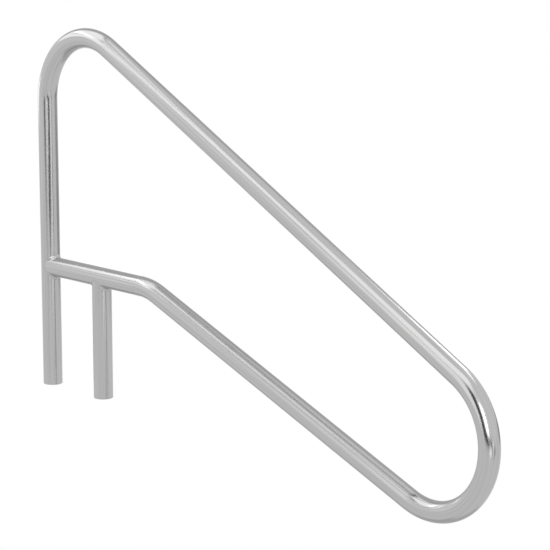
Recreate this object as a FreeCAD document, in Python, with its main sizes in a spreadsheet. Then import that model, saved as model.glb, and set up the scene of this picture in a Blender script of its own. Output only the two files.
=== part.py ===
import FreeCAD, Part
import math
import os
import Sketcher

# A pool stair handrail, welded from stainless-steel tube. One long tube rises as the rear post, bends over
# into the sloping handrail, turns back through the end loop as the lower return rail and bends level again.
# A straight brace carries on from there to the rear post, and a short front post stands under the brace.
#
# Frame: origin at the centre of the rear post's foot, +Z up, +X from the rear post towards the end loop.
# Every centreline lies in the plane Y = 0. Lengths are in millimetres and angles in degrees.

DIMENSIONS = {
    "tube_diameter": (48.26, "outside diameter of every tube, 1.90 in"),
    "tube_wall": (1.65, "wall thickness of every tube, 0.065 in"),
    "bend_radius": (165.1, "centreline radius of all four bends, one 6.5 in die"),
    "overall_height": (914.4, "from the feet to the top of the handrail, 36 in"),
    "overall_length": (1524.0, "from the back of the rear post to the end of the loop, 60 in"),
    "handrail_slope": (27.75, "fall of the handrail below level"),
    "brace_height": (304.8, "from the feet to the brace's centreline, 12 in"),
    "brace_length": (355.6, "from the rear post's centreline to the start of the last bend, 14 in"),
    "post_spacing": (203.2, "between the two posts' centrelines, 8 in"),
    "edge_break": (0.4, "chamfer left by deburring a sawn foot"),
    "root_gap": (1.0, "gap between a coped end and the tube it meets, filled by the weld"),
    "fillet_leg": (10.0, "leg of the saddle weld where the two tubes meet square"),
    "butt_width": (2.0, "length of tube that the butt weld replaces"),
    "butt_crown": (0.3, "height of the butt weld's crown and of its root bead"),
}

RADIUS = "dimensions.tube_diameter / 2"
BORE = "(dimensions.tube_diameter / 2 - dimensions.tube_wall)"
# how far the weld's cutting shapes reach from the joint: past the fillets on every side
REACH = "dimensions.tube_diameter * 2"
BOTH_WAYS = "dimensions.tube_diameter * 4"

Vector = FreeCAD.Vector
UP = Vector(0, 0, 1)

doc = FreeCAD.newDocument("pool_handrail")


def write_sheet():
    sheet = doc.addObject("Spreadsheet::Sheet", "dimensions")
    for row, (alias, (value, meaning)) in enumerate(DIMENSIONS.items(), start=1):
        sheet.set(f"A{row}", alias)
        sheet.set(f"B{row}", str(value))
        sheet.setAlias(f"B{row}", alias)
        sheet.set(f"C{row}", meaning)
    doc.recompute()
    return sheet


sheet = write_sheet()


def add_body(name):
    body = doc.addObject("PartDesign::Body", name)
    body.Label = name
    return body


def add_sketch(body, name, role):
    """A sketch on one of its own body's origin planes, found by the plane's role."""
    sketch = body.newObject("Sketcher::SketchObject", name)
    plane = next(feature for feature in body.Origin.OriginFeatures if feature.Role == role)
    sketch.AttachmentSupport = [(plane, "")]
    sketch.MapMode = "FlatFace"
    return sketch


def constrain(sketch, kind, *where):
    return sketch.addConstraint(Sketcher.Constraint(kind, *where))


def dimension(sketch, name, kind, *where, size):
    """A named driving constraint, bound to the dimensions. The last of where is only a first value."""
    index = constrain(sketch, kind, *where)
    sketch.renameConstraint(index, name)
    sketch.setExpression(f"Constraints.{name}", size)


START, END, CENTRE = 1, 2, 3
SKETCH_ORIGIN = (-1, 1)
SKETCH_X_AXIS = -1
SKETCH_Y_AXIS = -2


def draw_tube_section(sketch):
    """Two circles about the sketch's origin: the tube's outside and its bore."""
    outside = sheet.tube_diameter / 2
    bore = outside - sheet.tube_wall
    for name, first, size in (("outside", outside, RADIUS), ("bore", bore, BORE)):
        circle = sketch.addGeometry(Part.Circle(Vector(0, 0, 0), UP, first))
        constrain(sketch, "Coincident", circle, CENTRE, *SKETCH_ORIGIN)
        dimension(sketch, name, "Radius", circle, first, size=size)


def rail_layout():
    """Centres, angles and ends of the rail's centreline in the plane Y = 0, from the dimensions."""
    tube_radius = sheet.tube_diameter / 2
    bend = sheet.bend_radius
    slope = math.radians(sheet.handrail_slope)
    top_centre = Vector(bend, sheet.overall_height - tube_radius - bend, 0)
    loop_x = sheet.overall_length - 2 * tube_radius - bend
    fall = (loop_x - top_centre.x) * math.tan(slope)
    loop_centre = Vector(loop_x, top_centre.y - fall, 0)
    last_centre = Vector(sheet.brace_length, sheet.brace_height - bend, 0)
    # the return rail runs from under the loop's circle to the top of the last bend's circle
    back = last_centre - loop_centre
    return_slope = math.atan2(back.y, -back.x) + math.asin(2 * bend / back.Length)
    return top_centre, loop_centre, last_centre, slope, return_slope


def draw_rail_path(sketch):
    """Post, top bend, handrail, end loop, return rail and last bend, each tangent to the next."""
    bend = sheet.bend_radius
    top_centre, loop_centre, last_centre, slope, return_slope = rail_layout()
    across_slope = Vector(math.sin(slope), math.cos(slope), 0) * bend
    across_return = Vector(math.sin(return_slope), math.cos(return_slope), 0) * bend
    quarter = math.pi / 2

    def arc(centre, first, last):
        return sketch.addGeometry(Part.ArcOfCircle(Part.Circle(centre, UP, bend), first, last))

    def line(first, last):
        return sketch.addGeometry(Part.LineSegment(first, last))

    post = line(Vector(0, 0, 0), Vector(0, top_centre.y, 0))
    top_bend = arc(top_centre, quarter - slope, math.pi)
    handrail = line(top_centre + across_slope, loop_centre + across_slope)
    loop = arc(loop_centre, -quarter - return_slope, quarter - slope)
    return_rail = line(loop_centre - across_return, last_centre + across_return)
    last_bend = arc(last_centre, quarter - return_slope, quarter)

    constrain(sketch, "Coincident", post, START, *SKETCH_ORIGIN)
    constrain(sketch, "Vertical", post)
    constrain(sketch, "Tangent", post, END, top_bend, END)
    constrain(sketch, "Tangent", top_bend, START, handrail, START)
    constrain(sketch, "Tangent", handrail, END, loop, END)
    constrain(sketch, "Tangent", loop, START, return_rail, START)
    constrain(sketch, "Tangent", return_rail, END, last_bend, START)
    constrain(sketch, "Vertical", last_bend, END, last_bend, CENTRE)

    dimension(sketch, "top_bend", "Radius", top_bend, bend, size="dimensions.bend_radius")
    dimension(sketch, "loop", "Radius", loop, bend, size="dimensions.bend_radius")
    dimension(sketch, "last_bend", "Radius", last_bend, bend, size="dimensions.bend_radius")
    dimension(
        sketch, "slope", "Angle", SKETCH_X_AXIS, START, handrail, START, -slope,
        size="-dimensions.handrail_slope * 1 deg",
    )
    dimension(
        sketch, "post_top", "DistanceY", post, START, post, END, top_centre.y,
        size=f"dimensions.overall_height - {RADIUS} - dimensions.bend_radius",
    )
    dimension(
        sketch, "loop_reach", "DistanceX", *SKETCH_ORIGIN, loop, CENTRE, loop_centre.x,
        size="dimensions.overall_length - dimensions.tube_diameter - dimensions.bend_radius",
    )
    dimension(
        sketch, "brace_reach", "DistanceX", *SKETCH_ORIGIN, last_bend, END, last_centre.x,
        size="dimensions.brace_length",
    )
    dimension(
        sketch, "brace_level", "DistanceY", *SKETCH_ORIGIN, last_bend, END, sheet.brace_height,
        size="dimensions.brace_height",
    )


def deburr_foot(body, tube):
    """A small chamfer round the outer edge of a foot sawn square at Z = 0."""
    radius = sheet.tube_diameter / 2

    def is_foot_edge(edge):
        circle = edge.Curve
        return (
            circle.TypeId == "Part::GeomCircle"
            and abs(circle.Radius - radius) < 1e-6
            and circle.Center.Length < 1e-6
        )

    edges = [f"Edge{i}" for i, edge in enumerate(tube.Shape.Edges, start=1) if is_foot_edge(edge)]
    chamfer = body.newObject("PartDesign::Chamfer", f"{body.Name}_deburr")
    chamfer.Base = (tube, edges)
    chamfer.setExpression("Size", "dimensions.edge_break")


def cope_end(body, role, name, centre_height=None):
    """Cuts a tube's end to the round of the tube that it meets, with the weld's root gap between them."""
    sketch = add_sketch(body, name, role)
    first = sheet.tube_diameter / 2 + sheet.root_gap
    circle = sketch.addGeometry(Part.Circle(Vector(0, 0, 0), UP, first))
    if centre_height:
        constrain(sketch, "PointOnObject", circle, CENTRE, SKETCH_Y_AXIS)
        dimension(
            sketch, "height", "DistanceY", *SKETCH_ORIGIN, circle, CENTRE, sheet.brace_height,
            size=centre_height,
        )
    else:
        constrain(sketch, "Coincident", circle, CENTRE, *SKETCH_ORIGIN)
    dimension(sketch, "round", "Radius", circle, first, size=f"{RADIUS} + dimensions.root_gap")
    cope = body.newObject("PartDesign::Pocket", f"{body.Name}_cope")
    cope.Profile = sketch
    cope.Type = "ThroughAll"
    cope.Midplane = True


def build_rail_tube():
    body = add_body("rail_tube")
    path = add_sketch(body, "rail_path", "XZ_Plane")
    draw_rail_path(path)
    section = add_sketch(body, "rail_section", "XY_Plane")
    draw_tube_section(section)
    tube = body.newObject("PartDesign::AdditivePipe", "bent_tube")
    tube.Profile = section
    tube.Spine = (path, [])
    doc.recompute()
    deburr_foot(body, tube)
    return body


def build_brace_tube():
    """Modelled about its own X axis with the rear post's axis as Z, then lifted to the brace's height."""
    body = add_body("brace_tube")
    section = add_sketch(body, "brace_section", "YZ_Plane")
    draw_tube_section(section)
    tube = body.newObject("PartDesign::Pad", "brace_length")
    tube.Profile = section
    tube.setExpression("Length", "dimensions.brace_length - dimensions.butt_width")
    cope_end(body, "XY_Plane", "brace_cope_round")
    body.setExpression("Placement.Base.z", "dimensions.brace_height")
    return body


def build_front_post():
    body = add_body("front_post")
    section = add_sketch(body, "front_post_section", "XY_Plane")
    draw_tube_section(section)
    tube = body.newObject("PartDesign::Pad", "front_post_length")
    tube.Profile = section
    tube.setExpression("Length", "dimensions.brace_height")
    doc.recompute()
    deburr_foot(body, tube)
    cope_end(body, "YZ_Plane", "front_post_cope_round", centre_height="dimensions.brace_height")
    body.setExpression("Placement.Base.x", "dimensions.post_spacing")
    return body


def build_butt_weld():
    """A ring about X: its crown stands proud outside, and its root bead inside, by the same height."""
    body = add_body("butt_weld")
    profile = add_sketch(body, "butt_weld_profile", "XY_Plane")
    radius = sheet.tube_diameter / 2
    bore = radius - sheet.tube_wall
    width = sheet.butt_width
    crown = sheet.butt_crown

    def bulge(level, height):
        first = Vector(0, level, 0)
        middle = Vector(width / 2, level + height, 0)
        return profile.addGeometry(Part.Arc(first, middle, Vector(width, level, 0)))

    face = bulge(radius, crown)
    root = bulge(bore, -crown)
    left = profile.addGeometry(Part.LineSegment(Vector(0, bore, 0), Vector(0, radius, 0)))
    right = profile.addGeometry(Part.LineSegment(Vector(width, bore, 0), Vector(width, radius, 0)))
    top = profile.addGeometry(Part.Point(Vector(width / 2, radius + crown, 0)))
    bottom = profile.addGeometry(Part.Point(Vector(width / 2, bore - crown, 0)))
    # an arc is stored anticlockwise, so the crown starts on the right and the root bead on the left
    constrain(profile, "Coincident", left, END, face, END)
    constrain(profile, "Coincident", right, END, face, START)
    constrain(profile, "Coincident", left, START, root, START)
    constrain(profile, "Coincident", right, START, root, END)
    constrain(profile, "PointOnObject", left, START, -2)
    constrain(profile, "Vertical", left)
    constrain(profile, "Vertical", right)
    constrain(profile, "Horizontal", left, START, right, START)
    constrain(profile, "Horizontal", left, END, right, END)
    for crest, bead in ((top, face), (bottom, root)):
        constrain(profile, "PointOnObject", crest, START, bead)
        constrain(profile, "Vertical", crest, START, bead, CENTRE)
    dimension(profile, "outside", "DistanceY", *SKETCH_ORIGIN, left, END, radius, size=RADIUS)
    dimension(profile, "inside", "DistanceY", *SKETCH_ORIGIN, left, START, bore, size=BORE)
    dimension(profile, "width", "DistanceX", left, START, right, START, width, size="dimensions.butt_width")
    dimension(profile, "crown", "DistanceY", left, END, top, START, crown, size="dimensions.butt_crown")
    dimension(profile, "bead", "DistanceY", bottom, START, left, START, crown, size="dimensions.butt_crown")
    ring = body.newObject("PartDesign::Revolution", "butt_weld_ring")
    ring.Profile = profile
    ring.ReferenceAxis = (profile, ["H_Axis"])
    ring.Angle = 360
    body.setExpression("Placement.Base.x", "dimensions.brace_length - dimensions.butt_width")
    body.setExpression("Placement.Base.z", "dimensions.brace_height")
    return body


def combine(kind, name, base, tool):
    result = doc.addObject(kind, name)
    result.Base = base
    result.Tool = tool
    return result


def build_saddle_weld(name):
    """
    The weld of a branch tube, along +X, onto an equal run tube, along Z. The two surfaces meet in the planes
    at 45 degrees to both axes, square to each other in the two crotches and flush at the sides. A root ring
    fills the gap in the branch's wall. A flat fillet lies in each crotch: a bar of elliptical section across
    the 45-degree plane, less both tubes, which fades to nothing where the surfaces are flush.
    """

    def rod(part_name, size, along_branch):
        cylinder = doc.addObject("Part::Cylinder", f"{name}_{part_name}")
        cylinder.setExpression("Radius", size)
        cylinder.setExpression("Height", BOTH_WAYS)
        if along_branch:
            cylinder.Placement.Rotation = FreeCAD.Rotation(Vector(0, 1, 0), 90)
        else:
            cylinder.setExpression("Placement.Base.z", f"-{REACH}")
        return cylinder

    def crotch_fillet(side, turn, box_floor):
        ellipse = doc.addObject("Part::Ellipse", f"{name}_{side}_ellipse")
        ellipse.setExpression("MajorRadius", "(dimensions.tube_diameter + dimensions.fillet_leg) / sqrt(2)")
        ellipse.setExpression("MinorRadius", RADIUS)
        bar = doc.addObject("Part::Extrusion", f"{name}_{side}_bar")
        bar.Base = ellipse
        bar.DirMode = "Custom"
        bar.Dir = UP
        bar.Solid = True
        bar.Symmetric = True
        bar.setExpression("LengthFwd", REACH)
        bar.Placement.Rotation = FreeCAD.Rotation(Vector(0, 1, 0), turn)
        corner = doc.addObject("Part::Box", f"{name}_{side}_corner")
        for size in ("Length", "Width", "Height"):
            corner.setExpression(size, REACH)
        corner.setExpression("Placement.Base.y", "-dimensions.tube_diameter")
        corner.setExpression("Placement.Base.z", box_floor)
        wedge = combine("Part::Common", f"{name}_{side}_wedge", bar, corner)
        beside_run = combine("Part::Cut", f"{name}_{side}_beside_run", wedge, run)
        return combine("Part::Cut", f"{name}_{side}_fillet", beside_run, branch)

    run = rod("run", RADIUS, along_branch=False)
    cope = rod("cope", f"{RADIUS} + dimensions.root_gap", along_branch=False)
    branch = rod("branch", RADIUS, along_branch=True)
    bore = rod("bore", BORE, along_branch=True)
    wall = combine("Part::Cut", f"{name}_wall", branch, bore)
    sleeve = combine("Part::Cut", f"{name}_sleeve", cope, run)
    root = combine("Part::Common", f"{name}_root", wall, sleeve)
    upper = crotch_fillet("upper", turn=-45, box_floor="0 mm")
    lower = crotch_fillet("lower", turn=45, box_floor=f"-{REACH}")
    weld = doc.addObject("Part::MultiFuse", name)
    weld.Label = name
    weld.Shapes = [root, upper, lower]
    return weld


def build_brace_weld():
    weld = build_saddle_weld("brace_weld")
    weld.setExpression("Placement.Base.z", "dimensions.brace_height")
    return weld


def build_front_post_weld():
    """The front post branches down from the brace, so the weld is turned to point along -Z."""
    weld = build_saddle_weld("front_post_weld")
    weld.Placement.Rotation = FreeCAD.Rotation(Vector(0, 1, 0), 90)
    weld.setExpression("Placement.Base.x", "dimensions.post_spacing")
    weld.setExpression("Placement.Base.z", "dimensions.brace_height")
    return weld


def check_document():
    for item in doc.Objects:
        if "Invalid" in item.State or "Error" in item.State:
            raise RuntimeError(f"{item.Label} failed: {item.State}")


def write_parts(pieces):
    for piece in pieces:
        if piece.Shape.isNull() or not piece.Shape.isValid() or len(piece.Shape.Solids) != 1:
            raise RuntimeError(f"{piece.Label} isn't one sound solid")
    os.makedirs("parts", exist_ok=True)
    for piece in pieces:
        piece.Shape.exportStep(f"parts/{piece.Label}.step")
        print(f"{piece.Label}: {piece.Shape.Volume / 1000:.2f} cm3")


pieces = [
    build_rail_tube(),
    build_brace_tube(),
    build_front_post(),
    build_brace_weld(),
    build_front_post_weld(),
    build_butt_weld(),
]
doc.recompute()
check_document()
write_parts(pieces)
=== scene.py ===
# %% [markdown]
# # A pool handrail in polished stainless steel
# One long tube makes most of this object. It stands up from the deck, bends over into the
# handrail, slopes down to a round loop and comes back under itself. A short brace tube
# ties its end to the post, and a second short post stands under the brace. Three welds
# join the tubes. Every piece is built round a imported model, which already says how large
# things are and where they are, so no piece is placed by eye.

import math

import bpy
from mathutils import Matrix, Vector


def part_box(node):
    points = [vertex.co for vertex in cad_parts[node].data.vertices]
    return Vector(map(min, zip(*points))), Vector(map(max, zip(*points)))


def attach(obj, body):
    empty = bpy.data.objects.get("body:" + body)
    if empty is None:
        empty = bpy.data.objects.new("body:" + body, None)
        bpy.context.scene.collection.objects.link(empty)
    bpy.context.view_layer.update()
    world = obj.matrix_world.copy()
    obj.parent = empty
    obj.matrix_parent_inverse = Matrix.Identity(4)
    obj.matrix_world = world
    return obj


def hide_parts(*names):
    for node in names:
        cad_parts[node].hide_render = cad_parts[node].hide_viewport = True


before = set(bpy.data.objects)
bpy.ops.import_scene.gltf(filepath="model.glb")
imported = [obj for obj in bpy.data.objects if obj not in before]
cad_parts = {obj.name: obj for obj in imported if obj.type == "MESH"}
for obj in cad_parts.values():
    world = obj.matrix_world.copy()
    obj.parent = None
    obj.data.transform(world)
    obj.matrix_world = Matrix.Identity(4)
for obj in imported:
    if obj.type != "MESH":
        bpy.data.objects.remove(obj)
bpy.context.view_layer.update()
print("packed nodes:", sorted(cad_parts))

# %% [markdown]
# ## Sizes
# A maker buys the tube by its outside diameter and wall, and sets the bender to one
# radius, so those are plain numbers. The heights and lengths are read from the packed
# model's boxes: the top of the rail, the reach of the loop, the height of the brace.


# %% Shop sizes
def mm(value):
    """Millimetres as Blender's metres."""
    return value / 1000


TUBE_DIAMETER = mm(48.26)
TUBE_WALL = mm(1.65)
TUBE_RADIUS = TUBE_DIAMETER / 2
TUBE_BORE = TUBE_RADIUS - TUBE_WALL
BEND_RADIUS = mm(165.1)
HANDRAIL_SLOPE = math.radians(27.75)
EDGE_BREAK = mm(0.4)
ROOT_GAP = mm(1.0)
FILLET_LEG = mm(10.0)
WELD_CROWN = mm(0.3)
print("tube bore", round(2 * TUBE_BORE * 1000, 2), "mm")

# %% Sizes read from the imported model
rail_low, rail_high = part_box("rail_tube")
brace_low, brace_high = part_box("brace_tube")
post_low, post_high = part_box("front_post")
butt_low, butt_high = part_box("butt_weld")
BRACE_HEIGHT = (brace_low.z + brace_high.z) / 2
FRONT_POST_X = (post_low.x + post_high.x) / 2
print("brace at", round(BRACE_HEIGHT, 4), "m, front post at", round(FRONT_POST_X, 4), "m")

# %% [markdown]
# ## The rail's centreline
# A bent tube is only straight runs and arcs of one radius, each tangent to the next. A
# freehand curve could follow the same route, but a mandrel bender can't make one and the
# reflections would show the difference at once. So the line is worked out from circles:
# the top bend, the loop, and the last bend that brings the return rail level with the
# brace. The return rail is the line that passes under the loop's circle and over the last
# bend's circle.

# %% The circles that the bender makes
top_centre = Vector((BEND_RADIUS, 0, rail_high.z - TUBE_RADIUS - BEND_RADIUS))
loop_x = rail_high.x - TUBE_RADIUS - BEND_RADIUS
loop_fall = (loop_x - top_centre.x) * math.tan(HANDRAIL_SLOPE)
loop_centre = Vector((loop_x, 0, top_centre.z - loop_fall))
last_centre = Vector((butt_high.x, 0, BRACE_HEIGHT - BEND_RADIUS))
back = last_centre - loop_centre
RETURN_SLOPE = math.atan2(back.z, -back.x) + math.asin(2 * BEND_RADIUS / back.length)
print("return rail slopes", round(math.degrees(RETURN_SLOPE), 2), "degrees")

# %% [markdown]
# ## Stations along a tube
# A station is a point of the centreline with the direction the tube has there, and how
# far along the tube it is. A straight run needs only a few. A bend gets one every two
# degrees, because polished metal shows any facet as a kink in its highlights.

# %% Straight runs
RUN_STEP = mm(60)


def run(start, end):
    """Stations from start to end: a list of points, each with the tube's direction."""
    steps = max(1, math.ceil((end - start).length / RUN_STEP))
    direction = (end - start).normalized()
    return [(start.lerp(end, i / steps), direction) for i in range(steps + 1)]


rear_post_run = run(Vector((0, 0, 0)), Vector((0, 0, top_centre.z)))
print("rear post run:", len(rear_post_run), "stations")

# %% Bends
BEND_STEP = math.radians(2)
QUARTER = math.pi / 2


def bend(centre, first, last):
    """Stations round a circle in the XZ plane, from one angle to the other."""
    steps = math.ceil(abs(last - first) / BEND_STEP)
    turn = math.copysign(1, last - first)
    found = []
    for i in range(steps + 1):
        angle = first + (last - first) * i / steps
        outward = Vector((math.cos(angle), 0, math.sin(angle)))
        onward = Vector((-math.sin(angle), 0, math.cos(angle))) * turn
        found.append((centre + outward * BEND_RADIUS, onward))
    return found


top_bend = bend(top_centre, math.pi, QUARTER - HANDRAIL_SLOPE)
loop = bend(loop_centre, QUARTER - HANDRAIL_SLOPE, -QUARTER - RETURN_SLOPE)
last_bend = bend(last_centre, QUARTER - RETURN_SLOPE, QUARTER)
print("top bend, loop and last bend:", len(top_bend), len(loop), len(last_bend), "stations")

# %% The rail's whole route
SAME_PLACE = mm(0.01)


def route(*parts):
    """Joins runs and bends end to end, and adds how far along each station is."""
    stations = []
    along = 0.0
    for part in parts:
        for point, direction in part:
            if stations:
                step = (point - stations[-1][0]).length
                if step < SAME_PLACE:
                    continue
                along += step
            stations.append((point, direction, along))
    return stations


rail_route = route(
    rear_post_run,
    top_bend,
    run(top_bend[-1][0], loop[0][0]),
    loop,
    run(loop[-1][0], last_bend[0][0]),
    last_bend,
)
print("rail tube:", len(rail_route), "stations,", round(rail_route[-1][2], 3), "m long")

# %% [markdown]
# ## A node helper
# Geometry and shader trees are both made of nodes with settings and links. One small
# function adds a node of any kind, sets it up and connects it, which keeps the trees
# short to read.

# %% One function for every node
MATH = "ShaderNodeMath"
VECTOR_MATH = "ShaderNodeVectorMath"


def add_node(tree, kind, *inputs, named=None, **settings):
    """Adds a node. Its inputs are given in order, or by name or number in named. Each is
    a plain value, an output, or a node, which stands for that node's first output."""
    node = tree.nodes.new(kind)
    for setting, value in settings.items():
        setattr(node, setting, value)
    for socket, value in [*enumerate(inputs), *(named or {}).items()]:
        if isinstance(value, bpy.types.Node):
            value = value.outputs[0]
        if isinstance(value, bpy.types.NodeSocket):
            tree.links.new(value, node.inputs[socket])
        else:
            node.inputs[socket].default_value = value
    return node


print("node helper ready, for geometry and for materials")

# %% [markdown]
# ## The tube as one closed skin
# Sweeping a circle gives only the outside of a tube, with no wall and no rim. Here the
# skin goes out along the outside, over the rim, back through the bore and over the other
# rim, so the piece is one closed sheet with the real wall. Python lists the rings of that
# sheet, one vertex at the middle of each, and a node tree lays a ring of points round
# every one of them. A tube that meets another is coped, which means its end is cut to the
# other tube's round. Where an end shows, its sharp edge is broken with a small bevel.

# %% One ring of the skin
OUTSIDE = 1.0
BORE = 0.0


def ring(station, skin, inset=0.0, shift=0.0, coped=0.0):
    """One ring: which skin it is on, how many edge breaks it is set in and moved along,
    and whether the cope cuts it."""
    point, direction, along = station
    return {
        "centre": point,
        "direction": direction,
        "along": along,
        "skin": skin,
        "inset": inset,
        "shift": shift,
        "coped": coped,
    }


foot_edge = ring(rail_route[0], OUTSIDE, inset=1.0)
print("a ring at the foot points", tuple(foot_edge["direction"]))


# %% The rings of a whole tube
def tube_rings(stations, start_coped=False, start_broken=False, end_broken=False):
    """The rings of a tube's skin, out along the outside and back through the bore."""
    first, last = stations[0], stations[-1]
    cope = 1.0 if start_coped else 0.0
    rings = [ring(first, BORE, coped=cope)]
    if start_broken:
        rings.append(ring(first, OUTSIDE, inset=1.0))
        rings.append(ring(first, OUTSIDE, shift=1.0))
    else:
        rings.append(ring(first, OUTSIDE, coped=cope))
    rings += [ring(station, OUTSIDE) for station in stations[1:-1]]
    if end_broken:
        rings.append(ring(last, OUTSIDE, shift=-1.0))
        rings.append(ring(last, OUTSIDE, inset=1.0))
    else:
        rings.append(ring(last, OUTSIDE))
    rings.append(ring(last, BORE))
    rings += [ring(station, BORE) for station in reversed(stations[1:-1])]
    return rings


rail_rings = tube_rings(rail_route, start_broken=True)
print("the rail's skin has", len(rail_rings), "rings")


# %% A mesh that carries the rings to the node tree
def rings_object(name, rings):
    """A mesh with one vertex at the middle of each ring, and the ring's facts on it."""
    mesh = bpy.data.meshes.new(name)
    mesh.from_pydata([r["centre"] for r in rings], [], [])
    direction = mesh.attributes.new("direction", "FLOAT_VECTOR", "POINT")
    direction.data.foreach_set("vector", [x for r in rings for x in r["direction"]])
    for fact in ("along", "skin", "inset", "shift", "coped"):
        attribute = mesh.attributes.new(fact, "FLOAT", "POINT")
        attribute.data.foreach_set("value", [r[fact] for r in rings])
    piece = bpy.data.objects.new(name, mesh)
    bpy.context.scene.collection.objects.link(piece)
    return piece


rail = rings_object("rail_tube_polished", rail_rings)
print(rail.name, "waits with", len(rail.data.vertices), "vertices")

# %% [markdown]
# ## Parts that both node trees share
# This object needs two geometry trees, one for tubes and one for the welds between them.
# Both start from a flat grid and bend it into shape, which is a sure way to get tidy
# four-sided faces. So the start, the numbering of the grid's points and the end are
# written once.


# %% The start and the end of a tree
SEAM_GAP = mm(0.001)


def new_tree(name, sizes):
    """An empty geometry tree with a geometry socket at each end and the named inputs."""
    tree = bpy.data.node_groups.new(name, "GeometryNodeTree")
    tree.interface.new_socket("Geometry", in_out="INPUT", socket_type="NodeSocketGeometry")
    for title, kind in sizes.items():
        tree.interface.new_socket(title, in_out="INPUT", socket_type="NodeSocket" + kind)
    tree.interface.new_socket("Geometry", in_out="OUTPUT", socket_type="NodeSocketGeometry")
    return tree, tree.nodes.new("NodeGroupInput").outputs


def finish_tree(tree, geometry, material):
    """Ends a tree: seams merged, faces turned outwards, smooth and made real, material set."""
    seams = {"Geometry": geometry, "Distance": SEAM_GAP}
    merged = add_node(tree, "GeometryNodeMergeByDistance", named=seams)
    # the grid's rows and columns wind so that its faces look inwards, so they are turned
    outward = add_node(tree, "GeometryNodeFlipFaces", merged)
    smooth = add_node(tree, "GeometryNodeSetShadeSmooth", outward)
    real = add_node(tree, "GeometryNodeRealizeInstances", smooth)
    paint = {"Geometry": real, "Material": material}
    painted = add_node(tree, "GeometryNodeSetMaterial", named=paint)
    add_node(tree, "NodeGroupOutput", painted)
    print(tree.name, "tree:", len(tree.nodes), "nodes")


# %% Numbering a grid, and the reach of a circle
def row_and_column(tree, columns):
    """The row and the column of every point of a grid with that many columns."""
    index = add_node(tree, "GeometryNodeInputIndex")
    middle = add_node(tree, MATH, index, 0.5, operation="ADD")
    rows_down = add_node(tree, MATH, middle, columns, operation="DIVIDE")
    row = add_node(tree, MATH, rows_down, operation="FLOOR")
    points_before = add_node(tree, MATH, row, columns, operation="MULTIPLY")
    column = add_node(tree, MATH, index, points_before, operation="SUBTRACT")
    return row, column


def reach(tree, radius, aside):
    """How far a circle reaches at a distance aside from its middle."""
    whole = add_node(tree, MATH, radius, 2.0, operation="POWER")
    lost = add_node(tree, MATH, aside, 2.0, operation="POWER")
    left = add_node(tree, MATH, whole, lost, operation="SUBTRACT")
    return add_node(tree, MATH, left, operation="SQRT")


print("grid helpers ready")

# %% [markdown]
# ## The tube's tree
# The grid has one row of points for every ring and one column for every side of the
# tube. Each point looks up its ring's facts, works out its radius, and goes to its place.
# The tree also stores where each point was on the tube before it was bent. Polishing
# lines are made on straight tube, so they follow that map round the bends.

# %% The grid and its rings
tube_tree, given = new_tree(
    "tube_skin",
    {
        "Outside Diameter": "Float",
        "Wall": "Float",
        "Edge Break": "Float",
        "Cope Radius": "Float",
        "Sides": "Int",
        "Material": "Material",
    },
)
rings_in = given["Geometry"]
size = add_node(tube_tree, "GeometryNodeAttributeDomainSize", rings_in, component="MESH")
ring_count = size.outputs["Point Count"]
ring_rows = add_node(tube_tree, MATH, ring_count, 1, operation="ADD")
side_columns = add_node(tube_tree, MATH, given["Sides"], 1, operation="ADD")
points = {"Vertices X": ring_rows, "Vertices Y": side_columns}
sheet = add_node(tube_tree, "GeometryNodeMeshGrid", named=points)
row, column = row_and_column(tube_tree, side_columns)
ring_number = add_node(tube_tree, MATH, row, ring_count, operation="MODULO")
print("tube grid numbered by ring and side")


# %% Looking up a ring's facts
def ring_fact(name, kind="FLOAT"):
    """A fact of the ring that a point belongs to."""
    fact = add_node(tube_tree, "GeometryNodeInputNamedAttribute", name, data_type=kind)
    source = {"Geometry": rings_in, "Value": fact, "Index": ring_number}
    return add_node(tube_tree, "GeometryNodeSampleIndex", named=source, data_type=kind)


skin = ring_fact("skin")
inset = ring_fact("inset")
shift = ring_fact("shift")
coped = ring_fact("coped")
along = ring_fact("along")
centre = ring_fact("position", "FLOAT_VECTOR")
direction = ring_fact("direction", "FLOAT_VECTOR")
print("seven facts for each ring")

# %% Each point's radius, and how far it moves along
half = add_node(tube_tree, MATH, given["Outside Diameter"], 0.5, operation="MULTIPLY")
from_outside = add_node(tube_tree, MATH, 1.0, skin, operation="SUBTRACT")
in_wall = add_node(tube_tree, MATH, from_outside, given["Wall"], operation="MULTIPLY")
on_skin = add_node(tube_tree, MATH, half, in_wall, operation="SUBTRACT")
broken = add_node(tube_tree, MATH, inset, given["Edge Break"], operation="MULTIPLY")
radius = add_node(tube_tree, MATH, on_skin, broken, operation="SUBTRACT")

turned = add_node(tube_tree, MATH, column, 2 * math.pi, operation="MULTIPLY")
angle = add_node(tube_tree, MATH, turned, given["Sides"], operation="DIVIDE")
sine = add_node(tube_tree, MATH, angle, operation="SINE")
cosine = add_node(tube_tree, MATH, angle, operation="COSINE")
sideways = add_node(tube_tree, MATH, radius, sine, operation="MULTIPLY")
upward = add_node(tube_tree, MATH, radius, cosine, operation="MULTIPLY")

cope_reach = reach(tube_tree, given["Cope Radius"], sideways)
cope = add_node(tube_tree, MATH, coped, cope_reach, operation="MULTIPLY")
moved = add_node(tube_tree, MATH, shift, given["Edge Break"], cope, operation="MULTIPLY_ADD")
print("a cope moves a point by the reach of a circle", round(TUBE_RADIUS + ROOT_GAP, 5), "m")

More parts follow.
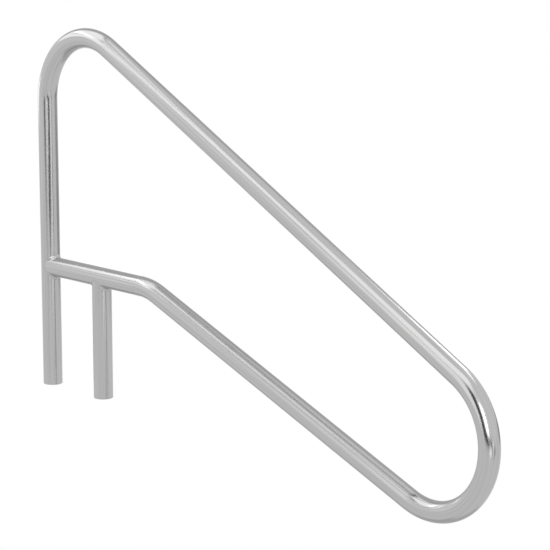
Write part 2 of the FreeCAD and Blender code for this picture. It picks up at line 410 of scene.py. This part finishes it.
# %% Each point's place, and its place before bending
# the bends all lie in one upright plane, so its normal is square to every direction
ACROSS = (0.0, 1.0, 0.0)
square_up = add_node(tube_tree, VECTOR_MATH, ACROSS, direction, operation="CROSS_PRODUCT")
place = centre
for way, distance in ((direction, moved), (square_up, upward), (ACROSS, sideways)):
    far = {"Scale": distance}
    step = add_node(tube_tree, VECTOR_MATH, way, named=far, operation="SCALE")
    place = add_node(tube_tree, VECTOR_MATH, place, step, operation="ADD")
unbent_along = add_node(tube_tree, MATH, along, moved, operation="ADD")
unbent = add_node(tube_tree, "ShaderNodeCombineXYZ", unbent_along, sideways, upward)
mapped = add_node(
    tube_tree,
    "GeometryNodeStoreNamedAttribute",
    named={"Geometry": sheet, "Name": "straight_tube", "Value": unbent},
    data_type="FLOAT_VECTOR",
    domain="POINT",
)
laid = add_node(
    tube_tree, "GeometryNodeSetPosition", named={"Geometry": mapped, "Position": place}
)
finish_tree(tube_tree, laid, given["Material"])

# %% [markdown]
# ## Running a tree
# A live modifier would leave the mesh unfinished in the file. So the tree is run once
# with its named inputs, its result is kept as a plain mesh, and the modifier is taken
# off. Edges sharper than 30 degrees, such as the rims, stay crisp and the rest is smooth.

# %% Run a tree and keep its mesh
SHARP_EDGE = math.radians(30)


def make(piece, tree, values):
    """Runs a tree on a piece with these inputs and keeps the result as a plain mesh."""
    modifier = piece.modifiers.new(tree.name, "NODES")
    modifier.node_group = tree
    sockets = {
        item.name: item.identifier
        for item in tree.interface.items_tree
        if item.in_out == "INPUT"
    }
    for title, value in values.items():
        modifier[sockets[title]] = value
    graph = bpy.context.evaluated_depsgraph_get()
    mesh = bpy.data.meshes.new_from_object(
        piece.evaluated_get(graph), preserve_all_data_layers=True, depsgraph=graph
    )
    piece.modifiers.remove(modifier)
    piece.data = mesh
    mesh.name = piece.name
    mesh.set_sharp_from_angle(angle=SHARP_EDGE)
    print(piece.name, len(mesh.vertices), "vertices,", len(mesh.polygons), "faces")
    return piece


# %% [markdown]
# ## Polished stainless tube
# The real tube is austenitic stainless steel, belt ground along its length and then
# buffed. Buffing leaves it close to a mirror, so its look is mostly what it reflects. The
# belt leaves fine lines along the tube, which blur each reflection a little and break it
# into faint streaks. A plain metal shader with an even roughness would look like chrome
# plate, so the roughness, the colour and the bump all carry the lengthwise lines.


# %% Colours and materials
def linear(hex_colour):
    """An sRGB hex colour as Blender's linear red, green, blue and alpha."""
    channels = [int(hex_colour[i : i + 2], 16) / 255 for i in (1, 3, 5)]
    return tuple(
        c / 12.92 if c <= 0.04045 else ((c + 0.055) / 1.055) ** 2.4 for c in channels
    ) + (1.0,)


def new_material(name):
    """A material, its node tree and its Principled shader."""
    material = bpy.data.materials.new(name)
    material.use_nodes = True
    return material, material.node_tree, material.node_tree.nodes["Principled BSDF"]


STEEL_DARK = linear("#C3C3C4")
STEEL_PALE = linear("#CECECD")
print("steel reflects", round(STEEL_DARK[1], 3), "to", round(STEEL_PALE[1], 3))

# %% Patterns drawn out along the tube
# buffed steel: bright, crisp reflections, drawn out a little by faint lines along the tube
polished, steel, shader = new_material("polished_stainless_steel")
shader.inputs["Metallic"].default_value = 1.0
unbent_place = add_node(
    steel, "ShaderNodeAttribute", attribute_type="GEOMETRY", attribute_name="straight_tube"
).outputs["Vector"]


def tube_noise(length, width, detail):
    """Noise drawn out along the straight tube: spots of that length and width in metres."""
    squeeze = {"Vector": unbent_place, "Scale": (1 / length, 1 / width, 1 / width)}
    stretched = add_node(steel, "ShaderNodeMapping", named=squeeze)
    grain = {"Vector": stretched, "Scale": 1.0, "Detail": detail}
    return add_node(steel, "ShaderNodeTexNoise", named=grain)


# a noise keeps near its middle, so 0.3 to 0.7 is spread over 0 to 1
NOISE_SPREAD = (0.3, 0.7, 0.0, 1.0)
# a belt of grit 240 leaves lines about 0.1 mm apart, too fine to see from across a room,
# so the lines are drawn where several run together, a few millimetres wide
belt_noise = tube_noise(mm(350), mm(3.5), 2.0)
belt_lines = add_node(steel, "ShaderNodeMapRange", belt_noise, *NOISE_SPREAD)
# buffing passes leave broad, soft changes along the tube
buffing_noise = tube_noise(mm(160), mm(14), 1.0)
buffing = add_node(steel, "ShaderNodeMapRange", buffing_noise, *NOISE_SPREAD)
# wiping and handling leave faint clouds with no direction
cloud_noise = tube_noise(mm(45), mm(45), 3.0)
clouds = add_node(steel, "ShaderNodeMapRange", cloud_noise, *NOISE_SPREAD)
print("belt lines, buffing and clouds on", polished.name)

# %% Colour, roughness and relief of the polished steel
steel_tint = {"Factor": belt_lines, "A": STEEL_DARK, "B": STEEL_PALE}
tint = add_node(steel, "ShaderNodeMix", named=steel_tint, data_type="RGBA")
steel.links.new(tint.outputs["Result"], shader.inputs["Base Color"])

BUFFED_ROUGHNESS = 0.12
# the lines add up to 0.05 to that, the buffing up to 0.04 and the clouds up to 0.02
rough = add_node(steel, MATH, belt_lines, 0.05, BUFFED_ROUGHNESS, operation="MULTIPLY_ADD")
rough = add_node(steel, MATH, buffing, 0.04, rough, operation="MULTIPLY_ADD")
rough = add_node(steel, MATH, clouds, 0.02, rough, operation="MULTIPLY_ADD")
steel.links.new(rough.outputs[0], shader.inputs["Roughness"])

LINE_DEPTH = mm(0.006)
fine_lines = tube_noise(mm(120), mm(2.0), 1.0)
grooves = {"Height": fine_lines, "Strength": 1.0, "Distance": LINE_DEPTH}
relief = add_node(steel, "ShaderNodeBump", named=grooves)
steel.links.new(relief.outputs[0], shader.inputs["Normal"])
print(polished.name, "has", len(steel.nodes), "nodes")

# %% [markdown]
# ## Dressed weld metal
# The welds are stainless too, laid by hand with a filler rod and then ground and buffed.
# A hand grinder crosses its own marks, so the metal is a little duller than the tube and
# its pattern has no one direction. It could share the tube's material, but then the
# joints would look cast in one piece with the tubes.

# %% Dressed weld metal
# ground and buffed by hand: softer reflections than the tube, with short crossing marks
dressed, weld, shader = new_material("dressed_weld_metal")
shader.inputs["Metallic"].default_value = 1.0
GRIND_MARK = mm(2.5)
in_place = add_node(weld, "ShaderNodeTexCoord").outputs["Object"]
grain = {"Vector": in_place, "Scale": 1 / GRIND_MARK, "Detail": 2.0}
mark_noise = add_node(weld, "ShaderNodeTexNoise", named=grain)
marks = add_node(weld, "ShaderNodeMapRange", mark_noise, *NOISE_SPREAD)

weld_tint = {"Factor": marks, "A": linear("#BDBDBE"), "B": linear("#CBCBCA")}
tint = add_node(weld, "ShaderNodeMix", named=weld_tint, data_type="RGBA")
weld.links.new(tint.outputs["Result"], shader.inputs["Base Color"])
DRESSED_ROUGHNESS = 0.28
MARKED_ROUGHNESS = 0.38
added = MARKED_ROUGHNESS - DRESSED_ROUGHNESS
rough = add_node(weld, MATH, marks, added, DRESSED_ROUGHNESS, operation="MULTIPLY_ADD")
weld.links.new(rough.outputs[0], shader.inputs["Roughness"])

MARK_DEPTH = mm(0.03)
scratches = {"Height": mark_noise, "Strength": 1.0, "Distance": MARK_DEPTH}
relief = add_node(weld, "ShaderNodeBump", named=scratches)
weld.links.new(relief.outputs[0], shader.inputs["Normal"])
print(dressed.name, "has", len(weld.nodes), "nodes")

# %% [markdown]
# ## The three tubes
# The rail is square and deburred at its foot and welded at its far end. The brace starts
# at the rear post's axis, where its cope cuts it back to the post's round, and ends at
# the butt weld. The front post is listed from the brace's axis downwards, so the same
# cope cuts its top. Ninety-six sides keep a tube's outline round from close by.

# %% Rail
tube_sizes = {
    "Outside Diameter": TUBE_DIAMETER,
    "Wall": TUBE_WALL,
    "Edge Break": EDGE_BREAK,
    "Cope Radius": TUBE_RADIUS + ROOT_GAP,
    "Sides": 96,
    "Material": polished,
}
make(rail, tube_tree, tube_sizes)

# %% Brace and front post
brace_root = Vector((0, 0, BRACE_HEIGHT))
brace_route = route(run(brace_root, Vector((brace_high.x, 0, BRACE_HEIGHT))))
brace_rings = tube_rings(brace_route, start_coped=True)
brace = make(rings_object("brace_tube_polished", brace_rings), tube_tree, tube_sizes)

post_root = Vector((FRONT_POST_X, 0, BRACE_HEIGHT))
post_route = route(run(post_root, Vector((FRONT_POST_X, 0, 0))))
post_rings = tube_rings(post_route, start_coped=True, end_broken=True)
front_post = make(rings_object("front_post_polished", post_rings), tube_tree, tube_sizes)

# %% [markdown]
# ## The butt weld
# Where the rail's end meets the brace, the two tubes are welded end to end and the bead
# is dressed nearly flush. It is a very short tube whose skin is a little proud outside
# and inside. So the same tree makes it, with the crown's height in place of the edge
# break: each ring is set out by its share of the crown.

# %% Butt weld
CROWN_STEPS = 12
crown_start = Vector((butt_low.x, 0, BRACE_HEIGHT))
crown_end = Vector((butt_high.x, 0, BRACE_HEIGHT))
crown_length = (crown_end - crown_start).length
east = Vector((1, 0, 0))
crown_rings = []
for i in range(CROWN_STEPS + 1):
    part = i / CROWN_STEPS
    station = (crown_start.lerp(crown_end, part), east, part * crown_length)
    crown_rings.append(ring(station, OUTSIDE, inset=-math.sin(math.pi * part)))
for i in range(CROWN_STEPS, -1, -1):
    part = i / CROWN_STEPS
    station = (crown_start.lerp(crown_end, part), east, part * crown_length)
    crown_rings.append(ring(station, BORE, inset=math.sin(math.pi * part)))
bead_sizes = {**tube_sizes, "Edge Break": WELD_CROWN, "Material": dressed}
butt_weld = make(rings_object("butt_weld_bead", crown_rings), tube_tree, bead_sizes)

# %% [markdown]
# ## The saddle welds
# Where one tube runs into the side of another of the same size, the weld is a saddle: a
# hollow fillet in the two crotches that thins to nothing at the flanks. At any distance
# from the tubes' common plane, its section is a quarter circle between the two surfaces,
# tangent to both, which is why reflections flow over it without a break. A bevel on a
# joined mesh could give a fillet too, but its width would wander. Here the section is a
# rule, so a node tree draws it: one direction of the grid goes round the branch tube, the
# other goes over the fillet's face and back through the root.

# %% The saddle's grid
saddle_tree, given = new_tree(
    "saddle_weld",
    {
        "Tube Radius": "Float",
        "Bore Radius": "Float",
        "Cope Radius": "Float",
        "Leg": "Float",
        "Ripple": "Float",
        "Ripples": "Int",
        "Round": "Int",
        "Over": "Int",
        "Turn": "Vector",
        "Place": "Vector",
        "Material": "Material",
    },
)
# the section has Over + 1 points on the face and two in the root, then closes at the toe
section_columns = add_node(saddle_tree, MATH, given["Over"], 4, operation="ADD")
round_rows = add_node(saddle_tree, MATH, given["Round"], 1, operation="ADD")
points = {"Vertices X": round_rows, "Vertices Y": section_columns}
sheet = add_node(saddle_tree, "GeometryNodeMeshGrid", named=points)
row, column = row_and_column(saddle_tree, section_columns)
turned = add_node(saddle_tree, MATH, row, 2 * math.pi, operation="MULTIPLY")
angle = add_node(saddle_tree, MATH, turned, given["Round"], operation="DIVIDE")
sine = add_node(saddle_tree, MATH, angle, operation="SINE")
cosine = add_node(saddle_tree, MATH, angle, operation="COSINE")
# how fully a section lies in a crotch: 1 in the crotches, 0 at the flanks
crotch = add_node(saddle_tree, MATH, cosine, operation="ABSOLUTE")
print("saddle grid numbered")

# %% The fillet's toes
# the face ends in two toes, one on the run tube and one on the branch tube, and near the
# flanks the branch toe still laps past the cope, so that no gap opens there
LAP = mm(0.4)
tube_radius = given["Tube Radius"]
leg_reach = add_node(saddle_tree, MATH, tube_radius, given["Leg"], operation="ADD")
run_x = add_node(saddle_tree, MATH, tube_radius, crotch, operation="MULTIPLY")
run_z = add_node(saddle_tree, MATH, leg_reach, cosine, operation="MULTIPLY")
face_y = add_node(saddle_tree, MATH, tube_radius, sine, operation="MULTIPLY")
cope_x = reach(saddle_tree, given["Cope Radius"], face_y)
lapped_x = add_node(saddle_tree, MATH, cope_x, LAP, operation="ADD")
leg_x = add_node(saddle_tree, MATH, leg_reach, crotch, operation="MULTIPLY")
branch_x = add_node(saddle_tree, MATH, leg_x, lapped_x, operation="MAXIMUM")
branch_z = add_node(saddle_tree, MATH, tube_radius, cosine, operation="MULTIPLY")
print("toes lap the cope by", LAP, "m")

# %% The hollow face between the toes
past_toe = add_node(saddle_tree, MATH, column, given["Over"], operation="DIVIDE")
share = add_node(saddle_tree, MATH, past_toe, 1.0, operation="MINIMUM")
swing = add_node(saddle_tree, MATH, share, QUARTER, operation="MULTIPLY")
swing_cosine = add_node(saddle_tree, MATH, swing, operation="COSINE")
swing_sine = add_node(saddle_tree, MATH, swing, operation="SINE")
over_x = add_node(saddle_tree, MATH, 1.0, swing_cosine, operation="SUBTRACT")
over_z = add_node(saddle_tree, MATH, 1.0, swing_sine, operation="SUBTRACT")
span_x = add_node(saddle_tree, MATH, branch_x, run_x, operation="SUBTRACT")
span_z = add_node(saddle_tree, MATH, run_z, branch_z, operation="SUBTRACT")
hollow_x = add_node(saddle_tree, MATH, span_x, over_x, run_x, operation="MULTIPLY_ADD")
hollow_z = add_node(saddle_tree, MATH, span_z, over_z, branch_z, operation="MULTIPLY_ADD")
print("the face is a quarter circle where the two legs are equal")

# %% Ripples left by the filler rod
# a hand weld is a row of small puddles, and dressing leaves a trace of them in the hollow
ripple_turn = add_node(saddle_tree, MATH, angle, given["Ripples"], operation="MULTIPLY")
wave = add_node(saddle_tree, MATH, ripple_turn, operation="SINE")
height = add_node(saddle_tree, MATH, wave, given["Ripple"], operation="MULTIPLY")
half_turn = add_node(saddle_tree, MATH, share, math.pi, operation="MULTIPLY")
fade = add_node(saddle_tree, MATH, half_turn, operation="SINE")
swell = add_node(saddle_tree, MATH, height, fade, operation="MULTIPLY")
face_x = add_node(saddle_tree, MATH, swell, crotch, hollow_x, operation="MULTIPLY_ADD")
face_z = add_node(saddle_tree, MATH, swell, cosine, hollow_z, operation="MULTIPLY_ADD")
print("ripples fade out at both toes")

# %% The root, and closing the section
# the root's two corners are at the bore's depth, one at the cope and one at the run tube
root_y = add_node(saddle_tree, MATH, given["Bore Radius"], sine, operation="MULTIPLY")
root_z = add_node(saddle_tree, MATH, given["Bore Radius"], cosine, operation="MULTIPLY")
gap_x = reach(saddle_tree, given["Cope Radius"], root_y)
wall_x = reach(saddle_tree, tube_radius, root_y)
corner_columns = []
for past in (1, 2, 3):
    number = add_node(saddle_tree, MATH, given["Over"], past, operation="ADD")
    here = add_node(saddle_tree, MATH, column, number, 0.5, operation="COMPARE")
    corner_columns.append(here)


def section(face, gap, wall, toe):
    """A coordinate: the face's, then the root's two corners', then the toe's again."""
    value = face
    for here, corner in zip(corner_columns, (gap, wall, toe)):
        value = add_node(
            saddle_tree, "GeometryNodeSwitch", here, value, corner, input_type="FLOAT"
        )
    return value


section_x = section(face_x, gap_x, wall_x, run_x)
section_y = section(face_y, root_y, root_y, face_y)
section_z = section(face_z, root_z, root_z, run_z)
place = add_node(saddle_tree, "ShaderNodeCombineXYZ", section_x, section_y, section_z)
laid = add_node(
    saddle_tree, "GeometryNodeSetPosition", named={"Geometry": sheet, "Position": place}
)
stand_at = {"Geometry": laid, "Rotation": given["Turn"], "Translation": given["Place"]}
placed = add_node(saddle_tree, "GeometryNodeTransform", named=stand_at)
finish_tree(saddle_tree, placed, given["Material"])

# %% Brace weld and front post weld
saddle_sizes = {
    "Tube Radius": TUBE_RADIUS,
    "Bore Radius": TUBE_BORE,
    "Cope Radius": TUBE_RADIUS + ROOT_GAP,
    "Leg": FILLET_LEG,
    "Ripple": mm(0.12),
    "Ripples": 72,
    "Round": 288,
    "Over": 20,
    "Material": dressed,
}


def saddle(name, turn, place):
    """A saddle weld, made by its tree from an empty mesh."""
    piece = bpy.data.objects.new(name, bpy.data.meshes.new(name))
    bpy.context.scene.collection.objects.link(piece)
    return make(piece, saddle_tree, {**saddle_sizes, "Turn": turn, "Place": tuple(place)})


brace_weld = saddle("brace_weld_saddle", (0, 0, 0), brace_root)
front_post_weld = saddle("front_post_weld_saddle", (0, QUARTER, 0), post_root)

# %% [markdown]
# ## The room
# Polished tube has hardly any look of its own: it shows the room. In a studio it stands
# in a pale grey room, with white cards and dark cloths where a highlight or a dark line
# should run. So the room here is an even grey, a little darker below, and only the camera
# sees it as plain white. A ready-made sky would light the tube too, but its sun and
# clouds would run along the steel as hard spots.

# %% The room
ROOM = 0.83
ROOM_BELOW = 0.78
HORIZON_BLEND = 0.08
scene = bpy.context.scene
scene.view_settings.view_transform = "Standard"
world = bpy.data.worlds.new("studio")
scene.world = world
world.use_nodes = True
room = world.node_tree
way_out = add_node(room, "ShaderNodeTexCoord").outputs["Generated"]
upness = add_node(room, "ShaderNodeSeparateXYZ", way_out).outputs["Z"]
horizon = (-HORIZON_BLEND, HORIZON_BLEND, ROOM_BELOW, ROOM)
grey = add_node(room, "ShaderNodeMapRange", upness, *horizon)
to_camera = add_node(room, "ShaderNodeLightPath").outputs["Is Camera Ray"]
brightness = add_node(room, "ShaderNodeMix", named={0: to_camera, 2: grey, 3: 1.0})
backdrop = room.nodes["Background"].inputs
backdrop["Color"].default_value = linear("#FFFFFF")
room.links.new(brightness.outputs[0], backdrop["Strength"])
print("room", ROOM, "above and", ROOM_BELOW, "below")


# %% [markdown]
# ## Floor and cards
# The floor is a white sweep level with the posts' feet. It glows evenly, so that its far
# edge doesn't show against the white room, and the steel doesn't mirror it, because in
# the studio the grey of the room is what shows low on the tubes. Cloths are the same kind
# of thing: flat sheets that give an even brightness and no gloss of their own.

# %% A flat sheet that glows evenly, and the floor
def glowing_sheet(name, finish, half_x, half_y, level):
    """A rectangle round the origin, with a material that only glows."""
    material, _, shader = new_material(finish)
    shader.inputs["Base Color"].default_value = linear("#000000")
    shader.inputs["Specular IOR Level"].default_value = 0.0
    shader.inputs["Emission Color"].default_value = linear("#FFFFFF")
    shader.inputs["Emission Strength"].default_value = level
    mesh = bpy.data.meshes.new(name)
    corners = ((-1, -1), (1, -1), (1, 1), (-1, 1))
    mesh.from_pydata([(x * half_x, y * half_y, 0) for x, y in corners], [], [(0, 1, 2, 3)])
    mesh.materials.append(material)
    sheet = bpy.data.objects.new(name, mesh)
    scene.collection.objects.link(sheet)
    return sheet


FLOOR_HALF = 12.0
floor = glowing_sheet("floor", "white_sweep", FLOOR_HALF, FLOOR_HALF, 1.0)
floor.location.z = rail_low.z
floor.visible_glossy = False
print("floor at", round(rail_low.z, 4), "m")

# %% [markdown]
# ## Soft boxes
# Each soft box gives one highlight. The key stands beside the camera and draws the white
# line on the handrail and the loop. The side ones light the top of the brace, the rims
# come from behind and edge the tubes, and the low ones in front draw the thin lines down
# the posts. A heading of 0 is along the handrail's reach, and minus 90 is the open side
# that the camera looks from. A soft box is sized by how wide it looks from the object,
# because that is what sets the width of its highlight.

# %% Standing a card round the object
MIDDLE = (rail_low + rail_high) / 2


def card_span(degrees, distance):
    """The size of a card that looks that wide from the object."""
    return 2 * distance * math.tan(math.radians(degrees / 2))


def stand(card, heading, height, distance):
    """Puts a lamp or a cloth in its place, facing the object and unseen by the camera."""
    heading, height = math.radians(heading), math.radians(height)
    level = Vector((math.cos(heading), math.sin(heading), 0)) * math.cos(height)
    way = level + Vector((0, 0, math.sin(height)))
    card.rotation_mode = "QUATERNION"
    card.location = MIDDLE + way * distance
    card.rotation_quaternion = way.to_track_quat("Z", "Y")
    card.visible_camera = False


print("cards stand round", tuple(round(x, 3) for x in MIDDLE))

# %% Soft boxes
# each row: name, heading, height, how wide and tall it looks (degrees), distance (m), level
SOFTBOXES = (
    ("key_softbox", -48.1, 13.8, 16.3, 34.1, 24.9, 3.2),
    ("fill_softbox", -100.6, 15.0, 28.6, 38.1, 24.9, 0.35),
    ("overhead_softbox", -80.7, 59.3, 36.1, 35.0, 23.6, 0.52),
    ("rim_near_softbox", 66.9, 49.0, 31.9, 12.0, 2.5, 1.0),
    ("rim_far_softbox", 103.6, 39.2, 10.2, 13.1, 22.6, 2.15),
    ("side_softbox", -159.0, 47.6, 47.8, 56.6, 2.5, 0.56),
    ("front_low_softbox", -26.8, -14.7, 16.8, 8.6, 2.8, 0.7),
    ("side_low_softbox", -143.4, 1.5, 27.8, 17.1, 2.6, 0.08),
    ("side_strip_softbox", -163.5, 35.5, 28.0, 5.0, 2.5, 1.38),
    ("front_wide_softbox", -6.9, -11.2, 11.7, 12.7, 9.3, 0.8),
    ("side_floor_softbox", -175.0, 2.3, 17.0, 5.1, 2.9, 1.16),
)
for name, heading, height, wide, tall, distance, level in SOFTBOXES:
    lamp = bpy.data.lights.new(name, "AREA")
    lamp.shape = "RECTANGLE"
    lamp.size = card_span(wide, distance)
    lamp.size_y = card_span(tall, distance)
    # a lamp's watts for that level of brightness on its face
    lamp.energy = level * math.pi * lamp.size * lamp.size_y
    softbox = bpy.data.objects.new(name, lamp)
    scene.collection.objects.link(softbox)
    stand(softbox, heading, height, distance)
print(len(SOFTBOXES), "soft boxes")

# %% [markdown]
# ## Flags
# A flag is a cloth that hides part of the room. Without dark places in the room, round
# tube looks flat, like plastic. The flag beside the key gives the thin dark line next to
# the white one, the big ones behind give each tube its darker edges, and the low ones in
# front put the dark lines on the posts.

# %% Flags
FLAGS = (
    ("beside_key_flag", -78.5, 13.5, 20.7, 44.0, 25.0, 0.02),
    ("on_floor_front_flag", -44.9, -8.5, 26.3, 9.8, 2.7, 0.0),
    ("ceiling_left_flag", -169.8, 73.3, 48.6, 5.8, 25.0, 0.0),
    ("behind_flag", 139.9, 21.3, 57.1, 62.6, 16.9, 0.54),
    ("on_floor_right_flag", -3.8, -13.0, 26.7, 10.7, 9.5, 0.25),
    ("behind_low_flag", 84.4, -8.2, 45.8, 12.1, 3.8, 0.36),
    ("front_post_line_flag", -27.7, -6.8, 16.3, 9.3, 11.6, 0.0),
    ("left_post_flag", -127.3, 51.9, 5.1, 20.4, 24.9, 0.03),
    ("below_behind_flag", 150.1, -54.2, 58.3, 52.5, 25.0, 0.58),
    ("side_line_flag", -154.3, 29.8, 27.1, 4.8, 25.0, 0.11),
    ("ceiling_edge_flag", -177.0, 74.6, 13.5, 4.8, 25.0, 0.04),
)
for name, heading, height, wide, tall, distance, level in FLAGS:
    half_wide = card_span(wide, distance) / 2
    half_tall = card_span(tall, distance) / 2
    flag = glowing_sheet(name, name + "_cloth", half_wide, half_tall, level)
    stand(flag, heading, height, distance)
print(len(FLAGS), "flags")

# %% [markdown]
# ## The camera
# The camera stands in front of the open side, a little above the rail, and looks down
# along the handrail's fall. A long lens from far away keeps the two posts nearly parallel
# and the same width. A shorter lens from close by would make the loop look too large.

# %% Camera
CAMERA_PLACE = Vector((4.50074, -3.46721, 1.42238))
CAMERA_YAW = math.radians(46.67)
CAMERA_PITCH = math.radians(-11.42)
LENS_MM = 149.28
SENSOR_MM = 36
camera = bpy.data.objects.new("camera", bpy.data.cameras.new("camera"))
camera.data.lens = LENS_MM
camera.data.sensor_width = SENSOR_MM
camera.location = CAMERA_PLACE
camera.rotation_euler = (QUARTER + CAMERA_PITCH, 0, CAMERA_YAW)
scene.collection.objects.link(camera)
scene.camera = camera
print("camera", round((CAMERA_PLACE - MIDDLE).length, 2), "m from the middle")

# %% [markdown]
# ## Tying the pieces to the model
# Each finished piece rides on a body of the imported model, so that it moves with it. This
# object is welded into one, so it has only the root. Each piece also takes the place of
# the plain solid it was built round, and the table names the material slot of its finish.

# %% Pieces, the nodes they stand for and their slots
PIECES = (
    (rail, "rail_tube", "polished_tube"),
    (brace, "brace_tube", "polished_tube"),
    (front_post, "front_post", "polished_tube"),
    (brace_weld, "brace_weld", "dressed_weld"),
    (front_post_weld, "front_post_weld", "dressed_weld"),
    (butt_weld, "butt_weld", "dressed_weld"),
)
for piece, node, slot in PIECES:
    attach(piece, "root")
    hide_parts(node)
print(len(PIECES), "pieces on the root")
